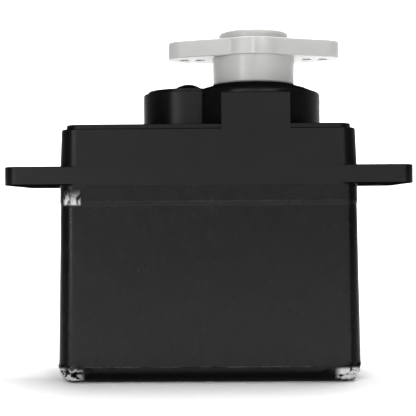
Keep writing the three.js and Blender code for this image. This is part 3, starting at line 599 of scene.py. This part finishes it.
def laminated_steel():
    """Thin stacked sheets of steel."""
    shader = Shader("laminated_steel", Metallic=0.9)
    sheets = shader.layers(scale=1.0, distortion=0.1)
    shader.colour(sheets, (0.08, 0.08, 0.085), (0.30, 0.30, 0.31), 0.1, 0.5)
    shader.rough(shader.noise(0.3, 2), 0.35, 0.5)
    shader.bump(sheets, 0.02)
    return shader.material


def board_green():
    """Solder mask over copper tracks."""
    shader = Shader("board_green", Coat_Weight=0.5, Coat_Roughness=0.2)
    tracks = shader.cell_edges(0.7)
    shader.colour(tracks, (0.012, 0.075, 0.030), (0.022, 0.14, 0.055), 0.04, 0.12)
    shader.rough(shader.noise(0.5, 3), 0.30, 0.45)
    shader.bump(tracks, 0.01, 0.6)
    return shader.material


BLACK = moulded_black()
FILM = shrink_film_material()
NYLON = white_nylon()
GEAR_NYLON = gear_nylon()
ZINC = metal("zinc_plate", (0.42, 0.42, 0.43), (0.56, 0.56, 0.57), 0.22, 0.36)
BRASS = metal("turned_brass", (0.52, 0.35, 0.12), (0.68, 0.48, 0.20), 0.22, 0.36)
GROUND_STEEL = metal("ground_steel", (0.50, 0.50, 0.51), (0.62, 0.62, 0.63), 0.15, 0.28)
DRAWN_STEEL = metal(
    "drawn_steel", (0.42, 0.42, 0.43), (0.56, 0.56, 0.57), 0.24, 0.38, grain=(1, 1, 0.05)
)
CONTACT_COPPER = metal("contact_copper", (0.52, 0.24, 0.11), (0.70, 0.36, 0.18), 0.2, 0.35)
FERRITE = matt("ferrite", (0.035, 0.035, 0.038), (0.06, 0.06, 0.065), 0.6, 0.8, metallic=0.3)
COPPER = wound_copper()
LAMINATION = laminated_steel()
PHENOLIC = matt("phenolic", (0.13, 0.055, 0.022), (0.20, 0.09, 0.04), 0.45, 0.6)
CARBON = matt("carbon_track", (0.015, 0.015, 0.015), (0.03, 0.03, 0.03), 0.35, 0.5)
BOARD = board_green()
EPOXY = matt("chip_epoxy", (0.014, 0.014, 0.015), (0.026, 0.026, 0.028), 0.5, 0.65)
TAN_EPOXY = matt("capacitor_body", (0.42, 0.25, 0.09), (0.54, 0.34, 0.14), 0.4, 0.55)
BLACK_RUBBER = matt("black_rubber", (0.012, 0.012, 0.012), (0.020, 0.020, 0.020), 0.6, 0.75)
RED_INSULATION = matt("red_insulation", (0.36, 0.02, 0.012), (0.46, 0.035, 0.02), 0.38, 0.5)


def numbered(name, count):
    return [f"{name}_{i}" for i in range(1, count + 1)]


# the CAD nodes that stay, by material; the scene's own pieces replace the other three
NODES_BY_MATERIAL = [
    (BLACK, ["middle_case", "bottom_cover"]),
    (BRASS, ["output_bush", "motor_bush_top", "motor_bush_bottom", "motor_pinion", "pot_wiper"]),
    (BRASS, numbered("motor_terminal", 2) + numbered("pot_terminal", 3)),
    (GROUND_STEEL, ["idler_pin", "output_spindle", "motor_shaft"]),
    (DRAWN_STEEL, ["motor_can", "pot_cover"]),
    (GEAR_NYLON, ["output_gear", "motor_end_bell", "pot_rotor"] + numbered("gear", 3)),
    (FERRITE, numbered("motor_magnet", 2)),
    (CONTACT_COPPER, ["commutator"] + numbered("motor_brush", 2)),
    (LAMINATION, ["armature_core"]),
    (COPPER, numbered("armature_coil", 3)),
    (PHENOLIC, ["pot_housing"]),
    (CARBON, ["pot_track"]),
    (BOARD, ["circuit_board"]),
    (EPOXY, ["control_chip"] + numbered("driver_chip", 2) + numbered("resistor", 3)),
    (TAN_EPOXY, ["smoothing_capacitor"]),
    (BLACK_RUBBER, ["motor_lead_1", "cable_outlet"]),
    (RED_INSULATION, ["motor_lead_2"]),
    (ZINC, ["horn_screw"] + numbered("case_screw", 4)),
]


def dress_node(node, material):
    """Gives a CAD node its material and a fine rounding of its edges."""
    for slot in node.material_slots:
        slot.material = material
    if not node.material_slots:
        node.data.materials.append(material)
    bevel = node.modifiers.new("edge", "BEVEL")
    bevel.width = 0.03 * MM
    bevel.segments = 2
    bevel.limit_method = "ANGLE"
    bevel.angle_limit = math.radians(40)
    bevel.harden_normals = True


def dress_nodes():
    for material, names in NODES_BY_MATERIAL:
        for name in names:
            dress_node(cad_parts[name], material)


# ---------- upper case ----------


def case_walls():
    """The walls, with a rebate for the film below the tabs and a slight draft above them."""
    ledge_z = TAB_UNDER_Z - 0.05
    chamfer_z = SEAM_Z + 0.15
    levels = [(SEAM_Z, -0.3), (chamfer_z, -FILM_LEDGE), (ledge_z, -FILM_LEDGE)]
    levels += [(ledge_z, 0.0), (TAB_TOP_Z, 0.0)]
    levels += top_fillet_levels(SHOULDER_Z, -SHOULDER_INSET, 0.14)
    return drafted_box("upper_case_shell", CASE_HALF_LENGTH, CASE_HALF_WIDTH, UPPER_CORNER, levels)


def plateau():
    """The slightly raised top of the case."""
    inset = SHOULDER_INSET + PLATEAU_INSET
    half_length = CASE_HALF_LENGTH - inset
    half_width = CASE_HALF_WIDTH - inset
    levels = [(SHOULDER_Z - 0.5, 0.02)] + top_fillet_levels(PLATEAU_Z, 0.0, 0.1)
    return drafted_box("plateau", half_length, half_width, UPPER_CORNER - 0.3, levels)


def tab_plate():
    """One plate through the case, whose ends are the two mounting tabs."""
    levels = bottom_fillet_levels(TAB_UNDER_Z, 0.0, TAB_EDGE)
    levels += top_fillet_levels(TAB_TOP_Z, 0.0, TAB_EDGE)
    return drafted_box("tabs", TAB_HALF_SPAN, TAB_HALF_WIDTH, TAB_CORNER, levels, steps=14)


def tab_cuts():
    """A screw hole in each tab and the slot from it to the tab's end."""
    low, high = TAB_UNDER_Z - 1, TAB_TOP_Z + 1
    half = TAB_SLOT_HALF_WIDTH
    cuts = []
    for side in (-1, 1):
        x = side * TAB_HOLE_X
        mouth = side * (TAB_HALF_SPAN + 1)
        cuts.append(cylinder("tab_hole", TAB_HOLE_RADIUS, low, high, 48, x))
        cuts.append(block("tab_slot", min(x, mouth), max(x, mouth), -half, half, low, high))
    return cuts


def idler_boss():
    """The round boss over the idler pin, with its stepped edge and domed cap."""
    sphere = (BOSS_CAP_RADIUS**2 + BOSS_CAP_HEIGHT**2) / (2 * BOSS_CAP_HEIGHT)
    half = math.asin(BOSS_CAP_RADIUS / sphere)
    steps = 8
    cap = []
    for i in range(steps + 1):
        angle = half * (1 - i / steps)
        z = BOSS_TOP_Z + BOSS_CAP_HEIGHT - sphere * (1 - math.cos(angle))
        cap.append((sphere * math.sin(angle), z))
    profile = [(0, ROOF_UNDER_Z), (BOSS_RADIUS, ROOF_UNDER_Z)]
    profile += fillet(BOSS_RADIUS, BOSS_STEP_Z, 0.12)
    profile += [(BOSS_TOP_RADIUS, BOSS_STEP_Z)]
    profile += fillet(BOSS_TOP_RADIUS, BOSS_TOP_Z, 0.1)
    return turned("boss", profile + cap, 96, IDLER_X)


def output_tower():
    """The round tower under the horn, with a sloping top up to the ring round the bush."""
    profile = [(0, ROOF_UNDER_Z), (TOWER_RADIUS, ROOF_UNDER_Z)]
    profile += fillet(TOWER_RADIUS, TOWER_WALL_TOP_Z, 0.3)
    profile += [TOWER_CONE_MIDDLE, (TOWER_RING_RADIUS, TOWER_CONE_TOP_Z)]
    profile += fillet(TOWER_RING_RADIUS - 0.02, TOWER_RING_TOP_Z, 0.04, 3)
    profile += [(0, TOWER_RING_TOP_Z)]
    return turned("tower", profile, 128, OUTPUT_X)


def web(side):
    """The flat buttress between the tower and the case's long face."""
    face = CASE_HALF_WIDTH - SHOULDER_INSET
    left, right = OUTPUT_X - WEB_HALF_WIDTH, OUTPUT_X + WEB_HALF_WIDTH
    profile = [(face + 0.06, SHOULDER_Z - 1.0)]
    profile += fillet(face - WEB_LEAN, WEB_TOP_Z, WEB_EDGE, 4)
    sections = []
    for depth, z in profile:
        near, far = sorted((0.0, side * depth))
        sections.append((z, [(left, near), (right, near), (right, far), (left, far)]))
    return loft("web", sections)


def case_hollows():
    """The room for the gears, and the bores for the bush and the pin."""
    half_length = CASE_HALF_LENGTH - CASE_WALL
    half_width = CASE_HALF_WIDTH - CASE_WALL
    levels = [(SEAM_Z - 1, 0), (ROOF_UNDER_Z, 0)]
    start_z = ROOF_UNDER_Z - 1
    bush_z = BUSH_LOW[2]
    bush_radius = BUSH_HIGH[1] + BUSH_CLEARANCE
    return [
        drafted_box("cavity", half_length, half_width, CAVITY_CORNER, levels),
        cylinder("tower_bore", TOWER_BORE_RADIUS, start_z, bush_z, 64, OUTPUT_X),
        cylinder("boss_bore", BOSS_BORE_RADIUS, start_z, bush_z - 0.1, 48, IDLER_X),
        cylinder("bush_bore", bush_radius, bush_z - 0.5, UPPER_HIGH[2] + 1, 64, OUTPUT_X),
    ]


def build_upper_case():
    shell = case_walls()
    combine(shell, [plateau(), tab_plate(), idler_boss(), output_tower(), web(-1), web(1)], "UNION")
    combine(shell, case_hollows() + tab_cuts(), "DIFFERENCE")
    finish_piece(shell, "case", ["upper_case"], BLACK)


# ---------- shrink film ----------


def film_outline(offset):
    """Points round the case at an outward offset, denser at the corners, counter-clockwise."""
    half_length = CASE_HALF_LENGTH + offset
    half_width = CASE_HALF_WIDTH + offset
    radius = max(LOWER_CORNER + offset, 0.12)
    x, y = half_length - radius, half_width - radius
    corners = [(x, y), (-x, y), (-x, -y), (x, -y)]
    points = []
    for i, centre in enumerate(corners):
        start_angle, end_angle = i * math.pi / 2, (i + 1) * math.pi / 2
        turn = arc(radius, start_angle, end_angle, FILM_CORNER_STEPS, *centre)
        points += turn
        start = np.array(turn[-1])
        away = np.array([math.cos(end_angle), math.sin(end_angle)])
        end = np.array(corners[(i + 1) % 4]) + radius * away
        steps = (FILM_LONG_STEPS, FILM_SHORT_STEPS)[i % 2]
        points += [tuple(start + (end - start) * k / steps) for k in range(1, steps)]
    return np.array(points)


def film_levels():
    """(z, outward offset) of the film's outer face, from the inner edge of the fold to the top."""
    foot = EDGE_OFFSET - EDGE_RADIUS
    steps = FILM_LIP_STEPS
    levels = [(0.0, foot - FILM_LIP * (1 - i / steps)) for i in range(steps)]
    for angle in np.linspace(0, math.pi / 2, 26):
        z = EDGE_RADIUS * (1 - math.cos(angle))
        levels.append((z, EDGE_RADIUS * math.sin(angle) + foot))
    bands = [(EDGE_RADIUS + 0.03, 1.6, 0.035), (1.65, 2.6, 0.1)]
    bands += [(2.8, SEAM_Z - 0.9, 0.33), (SEAM_Z - 0.85, FILM_TOP_Z - 0.04, 0.07)]
    for start, stop, step in bands:
        levels += [(z, wall_offset(z)) for z in np.arange(start, stop, step)]
    levels.append((FILM_TOP_Z, wall_offset(FILM_TOP_Z)))
    return levels


def wall_offset(z):
    """The film's outward offset on the walls: the lower case's draft, then the step at the seam."""
    rise = (z - EDGE_RADIUS) / (SEAM_Z - EDGE_RADIUS)
    lower = FILM_FOOT_OFFSET + (FILM_SEAM_OFFSET - FILM_FOOT_OFFSET) * rise
    step = switch(z, SEAM_Z - 0.03, 0.07)
    return lower + (FILM_UPPER_OFFSET - lower) * step


def switch(value, place, width):
    """0 well below a place and 1 well above it, with a smooth change of about that width."""
    return 1 / (1 + math.exp((place - value) / width))


def ridge(value, width):
    """A rounded crease: 1 on the line, 0 further than about two widths from it."""
    return math.exp(-((value / width) ** 2))


def film_relief(point, along, corner):
    """How far the film stands off its smooth form at a point, in mm.

    along is the distance round the case from the nearest corner's middle, and corner is that
    corner's number: 0 back right, 1 back left, 2 front left, 3 front right.
    """
    x, y, z = point
    sample = Vector((x, y, z))
    near_corner = ridge(along, 1.9)
    slack = 0.010 * noise.noise(sample * 0.33)
    slack += 0.006 * noise.noise(sample * 0.9 + Vector((7, 3, 1)))

    dashes = max(0.0, noise.noise(Vector((x * 1.3, y * 1.3, 4.0))) + 0.15)
    slack += 0.05 * ridge(z - FOLD_Z, 0.075) * dashes * (1 - near_corner)
    seam_wander = 0.8 + 0.7 * noise.noise(Vector((x * 0.8, y * 0.8, 9)))
    slack += 0.018 * ridge(z - (SEAM_Z + 0.13), 0.11) * seam_wander

    low = (1 - switch(z, 1.35, 0.12)) * min(1.0, (z + 0.15) / 0.5)
    pleat = noise.noise(Vector((along * 1.7 + corner * 5.1, z * 1.2, corner * 3.7)))
    sharp_pleat = max(0.0, 1 - abs(pleat) * 4)
    crumple = noise.noise(Vector((x * 1.5, y * 1.5, z * 2.2 + corner)))
    slack += near_corner * low * (0.12 * sharp_pleat + 0.20 * crumple - 0.06)

    upper = ridge(z - (SEAM_Z + 0.45), 0.42)
    if corner == FRONT_LEFT:
        strokes = sum(
            height * ridge(along - start - lean * (z - SEAM_Z), 0.10)
            for start, lean, height in GATHER_STROKES
        )
        slack += 0.09 * upper * strokes
    else:
        wave = noise.noise(Vector((along * 3, z * 3, corner)))
        slack += 0.02 * upper * ridge(along, 0.8) * wave
    nick_z = 5.2 if corner == FRONT_RIGHT else 8.2
    slack += 0.02 * ridge(along - 0.5, 0.5) * ridge(z - nick_z, 0.05)
    return slack


def ring_faces(base, level, count, outward=True):
    """Faces between one ring of a sleeve's points and the next ring up."""
    faces = []
    for i in range(count):
        a = base + level * count + i
        b = base + level * count + (i + 1) % count
        faces.append((a, b, b + count, a + count) if outward else (a, a + count, b + count, b))
    return faces


def smooth_film(levels):
    """The film's outer points without relief, by level and place round the case, and normals."""
    grid = np.array([[(x, y, z) for x, y in film_outline(offset)] for z, offset in levels])
    rise = np.gradient(grid, axis=0)
    run = np.roll(grid, -1, axis=1) - np.roll(grid, 1, axis=1)
    normals = np.cross(run, rise)
    normals /= np.linalg.norm(normals, axis=2, keepdims=True)
    return grid, normals


def corner_gaps():
    """For each place round the case, its distance from each corner's middle, in mm."""
    middle = film_outline(0.0)
    lengths = np.linalg.norm(np.roll(middle, -1, axis=0) - middle, axis=1)
    distance = np.concatenate([[0], np.cumsum(lengths)[:-1]])
    total = lengths.sum()
    long_side = FILM_CORNER_STEPS + FILM_LONG_STEPS
    short_side = FILM_CORNER_STEPS + FILM_SHORT_STEPS
    starts = [0, long_side, long_side + short_side, 2 * long_side + short_side]
    corner_middle = distance[[start + FILM_CORNER_STEPS // 2 for start in starts]]
    return (distance[:, None] - corner_middle + total / 2) % total - total / 2


def add_relief(grid, normals, levels):
    """The film's outer points with their relief; the lip and the top edge stay as they are."""
    gaps = corner_gaps()
    nearest = np.abs(gaps).argmin(axis=1)
    displaced = grid.copy()
    for level in range(FILM_LIP_STEPS, len(levels)):
        top_fade = min(1.0, (FILM_TOP_Z - levels[level][0]) / 0.15)
        for i, corner in enumerate(nearest):
            relief = film_relief(grid[level, i], gaps[i, corner], int(corner))
            displaced[level, i] += normals[level, i] * relief * top_fade
    displaced[:, :, 2] = np.maximum(displaced[:, :, 2], 0.0)
    return displaced


def build_film():
    levels = film_levels()
    grid, normals = smooth_film(levels)
    outer = add_relief(grid, normals, levels)
    rings, count = outer.shape[:2]
    inner_levels = list(range(0, rings, 3)) + [rings - 1]
    inner = (grid - normals * FILM_THICKNESS)[inner_levels]
    inner[-1, :, 2] = FILM_TOP_Z - 0.002
    inner[0, :, 2] = FILM_THICKNESS
    vertices = np.concatenate([outer.reshape(-1, 3), inner.reshape(-1, 3)])

    inner_base = rings * count
    faces = []
    for level in range(rings - 1):
        faces += ring_faces(0, level, count)
    for level in range(len(inner) - 1):
        faces += ring_faces(inner_base, level, count, outward=False)
    top_outer = (rings - 1) * count
    top_inner = inner_base + (len(inner) - 1) * count
    for i in range(count):
        j = (i + 1) % count
        faces.append((top_outer + i, top_outer + j, top_inner + j, top_inner + i))
        faces.append((i, inner_base + i, inner_base + j, j))
    film = make_object("film_sleeve", vertices, faces)

    x0, x1 = CASE_HALF_LENGTH - 2, CASE_HALF_LENGTH + 1
    half = WINDOW_HALF_WIDTH
    window = block("cable_window", x0, x1, -half, half, WINDOW_LOW_Z, WINDOW_HIGH_Z)
    combine(film, [window], "DIFFERENCE")
    finish_piece(film, "case", ["shrink_film"], FILM, angle=60)


# ---------- horn ----------


def horn_arm(side):
    """One arm, tapering from the hub to a round tip, with slightly rounded edges."""
    tip_x = HORN_HIGH[0] - OUTPUT_X - ARM_TIP_RADIUS
    lean = math.asin((ARM_ROOT_HALF_WIDTH - ARM_TIP_RADIUS) / tip_x)
    side_angle = math.pi / 2 - lean

    def outline(inset):
        root = ARM_ROOT_HALF_WIDTH - inset
        points = [(0.0, -root)]
        points += arc(ARM_TIP_RADIUS - inset, -side_angle, side_angle, 24, tip_x)
        points.append((0.0, root))
        return [(OUTPUT_X + side * x, side * y) for x, y in points]

    rounding = []
    for angle in np.linspace(0, math.pi / 2, 4):
        up = ARM_EDGE * (1 - math.cos(angle))
        rounding.append((up, outline(ARM_EDGE * (1 - math.sin(angle)))))
    sections = [(PLATE_UNDER_Z + up, points) for up, points in rounding]
    sections += [(PLATE_TOP_Z - up, points) for up, points in reversed(rounding)]
    return loft("arm", sections)


def horn_centre():
    """The horn's turned part: collar, plate and raised hub."""
    profile = [(0, HORN_BOTTOM_Z), (COLLAR_RADIUS - 0.1, HORN_BOTTOM_Z)]
    profile += [(COLLAR_RADIUS, HORN_BOTTOM_Z + 0.1), (COLLAR_RADIUS + 0.04, PLATE_UNDER_Z)]
    profile += [(DISC_RADIUS - DISC_EDGE, PLATE_UNDER_Z), (DISC_RADIUS, PLATE_UNDER_Z + DISC_EDGE)]
    profile += fillet(DISC_RADIUS, PLATE_TOP_Z, DISC_EDGE, 3)
    profile += [(HUB_RADIUS + 0.04, PLATE_TOP_Z), (HUB_RADIUS, PLATE_TOP_Z + 0.04)]
    profile += fillet(HUB_RADIUS, HUB_TOP_Z, HUB_FILLET)
    profile += [(0, HUB_TOP_Z)]
    return turned("horn", profile, 128, OUTPUT_X)


def spline_socket():
    """The toothed socket for the output spline."""
    outline = []
    for i in range(SPLINE_TEETH * 2):
        angle = math.pi * i / SPLINE_TEETH
        radius = SPLINE_OUTER if i % 2 == 0 else SPLINE_INNER
        outline.append((OUTPUT_X + radius * math.cos(angle), radius * math.sin(angle)))
    return loft("socket", [(HORN_BOTTOM_Z - 1, outline), (SOCKET_TOP_Z, outline)])


def build_horn():
    horn = horn_centre()
    combine(horn, [horn_arm(1), horn_arm(-1)], "UNION")
    above = HUB_TOP_Z + 1
    cuts = [
        spline_socket(),
        cylinder("screw_hole", SCREW_HOLE_RADIUS, HORN_BOTTOM_Z, above, 48, OUTPUT_X),
        cylinder("screw_recess", SCREW_RECESS_RADIUS, SCREW_RECESS_Z, above, 64, OUTPUT_X),
    ]
    low, high = PLATE_UNDER_Z - 1, PLATE_TOP_Z + 1
    for side in (-1, 1):
        for distance in ARM_HOLES_X:
            x = OUTPUT_X + side * distance
            cuts.append(cylinder("arm_hole", ARM_HOLE_RADIUS, low, high, 32, x))
    combine(horn, cuts, "DIFFERENCE")
    finish_piece(horn, "output", ["servo_horn"], NYLON)


# ---------- studio ----------

# how bright the surroundings are, from the front (0) by the flanks (0.5) to the back (1)
WORLD_STOPS = [(0.0, 0.52), (0.10, 0.50), (0.24, 0.035), (0.60, 0.035), (0.75, 0.10), (1.0, 0.12)]
WORLD_STRENGTH = 1.6
MIDDLE = (0, 0, 0.014)  # about the middle of the object, which most lights face
CAMERA_POSITION = (0.0013, -0.08225, 0.0133)
CAMERA_YAW = math.radians(0.81)
CAMERA_ROLL = math.radians(0.40)
CAMERA_LENS = 87.6
# shift of the lens sideways and upwards, as a share of the picture, that centres the object
CAMERA_SHIFT = (-0.0077, -0.0016)


def floor_material():
    """Pale matt paper."""
    shader = Shader("studio_floor", Roughness=0.9)
    shader.colour(shader.noise(40, 3), (0.89, 0.89, 0.89), (0.93, 0.93, 0.93))
    shader.bump(shader.noise(1.5, 3), 0.01)
    return shader.material


def build_floor():
    """A pale floor that curves up behind the object, in metres."""
    half_width, front, back, height, radius = 8.0, -8.0, 0.9, 1.6, 0.4
    profile = [(front, 0.0)]
    profile += arc(radius, -math.pi / 2, 0.0, 15, back - radius, radius)
    profile += [(back, height)]
    vertices = [(x, y, z) for y, z in profile for x in (-half_width, half_width)]
    faces = [(2 * i, 2 * i + 1, 2 * i + 3, 2 * i + 2) for i in range(len(profile) - 1)]
    floor = make_object("studio_floor", vertices, faces)
    floor.data.polygons.foreach_set("use_smooth", [True] * len(floor.data.polygons))
    floor.data.materials.append(floor_material())


def area_light(name, position, target, size, power):
    """A white light of the given width and height, in metres, that faces a target."""
    data = bpy.data.lights.new(name, "AREA")
    data.shape = "RECTANGLE"
    data.size, data.size_y = size
    data.energy = power
    light = bpy.data.objects.new(name, data)
    light.location = position
    direction = Vector(target) - Vector(position)
    light.rotation_euler = direction.to_track_quat("-Z", "Y").to_euler()
    bpy.context.scene.collection.objects.link(light)


def build_world():
    """Soft light from the front, and dark flanks and back."""
    world = bpy.data.worlds.new("studio")
    world.use_nodes = True
    nodes, links = world.node_tree.nodes, world.node_tree.links
    direction = nodes.new("ShaderNodeTexCoord").outputs["Generated"]
    axes = nodes.new("ShaderNodeSeparateXYZ")
    links.new(direction, axes.inputs["Vector"])
    spread = nodes.new("ShaderNodeMapRange")
    spread.inputs["From Min"].default_value = -1
    links.new(axes.outputs["Y"], spread.inputs["Value"])
    ramp = nodes.new("ShaderNodeValToRGB")
    ramp.color_ramp.interpolation = "EASE"
    set_stops(ramp.color_ramp, WORLD_STOPS)
    links.new(spread.outputs["Result"], ramp.inputs["Fac"])
    background = nodes["Background"]
    links.new(ramp.outputs["Color"], background.inputs["Color"])
    background.inputs["Strength"].default_value = WORLD_STRENGTH
    bpy.context.scene.world = world


def build_lights():
    """Broad soft lights, and two narrow upright ones that draw highlights on rounded corners."""
    area_light("top", (0.05, 0.10, 0.42), MIDDLE, (0.4, 0.3), 2.7)
    area_light("key", (-0.10, -0.22, 0.26), MIDDLE, (0.05, 0.05), 0.24)
    area_light("strip", (-0.18, -0.295, 0.02), MIDDLE, (0.010, 0.25), 0.24)
    area_light("spark", (-0.105, -0.33, 0.03), MIDDLE, (0.02, 0.06), 0.014)
    area_light("fill", (0.12, -0.25, 0.16), MIDDLE, (0.06, 0.06), 0.12)
    area_light("backdrop", (0.0, 0.30, 0.55), (0, 0.95, 0.12), (0.6, 0.3), 9.0)


def build_camera():
    """Level with the case's middle, in front of its long face and a little to the output's side."""
    data = bpy.data.cameras.new("camera")
    data.sensor_width = 36.0
    data.lens = CAMERA_LENS
    data.shift_x, data.shift_y = CAMERA_SHIFT
    data.clip_start = 0.001
    camera = bpy.data.objects.new("camera", data)
    camera.location = CAMERA_POSITION
    look = Matrix.Rotation(CAMERA_YAW, 4, "Z") @ Matrix.Rotation(math.pi / 2, 4, "X")
    camera.rotation_euler = (look @ Matrix.Rotation(-CAMERA_ROLL, 4, "Z")).to_euler()
    bpy.context.scene.collection.objects.link(camera)
    bpy.context.scene.camera = camera


dress_nodes()
build_upper_case()
build_film()
build_horn()
build_floor()
build_world()
build_lights()
build_camera()
bpy.context.scene.view_settings.view_transform = "Standard"
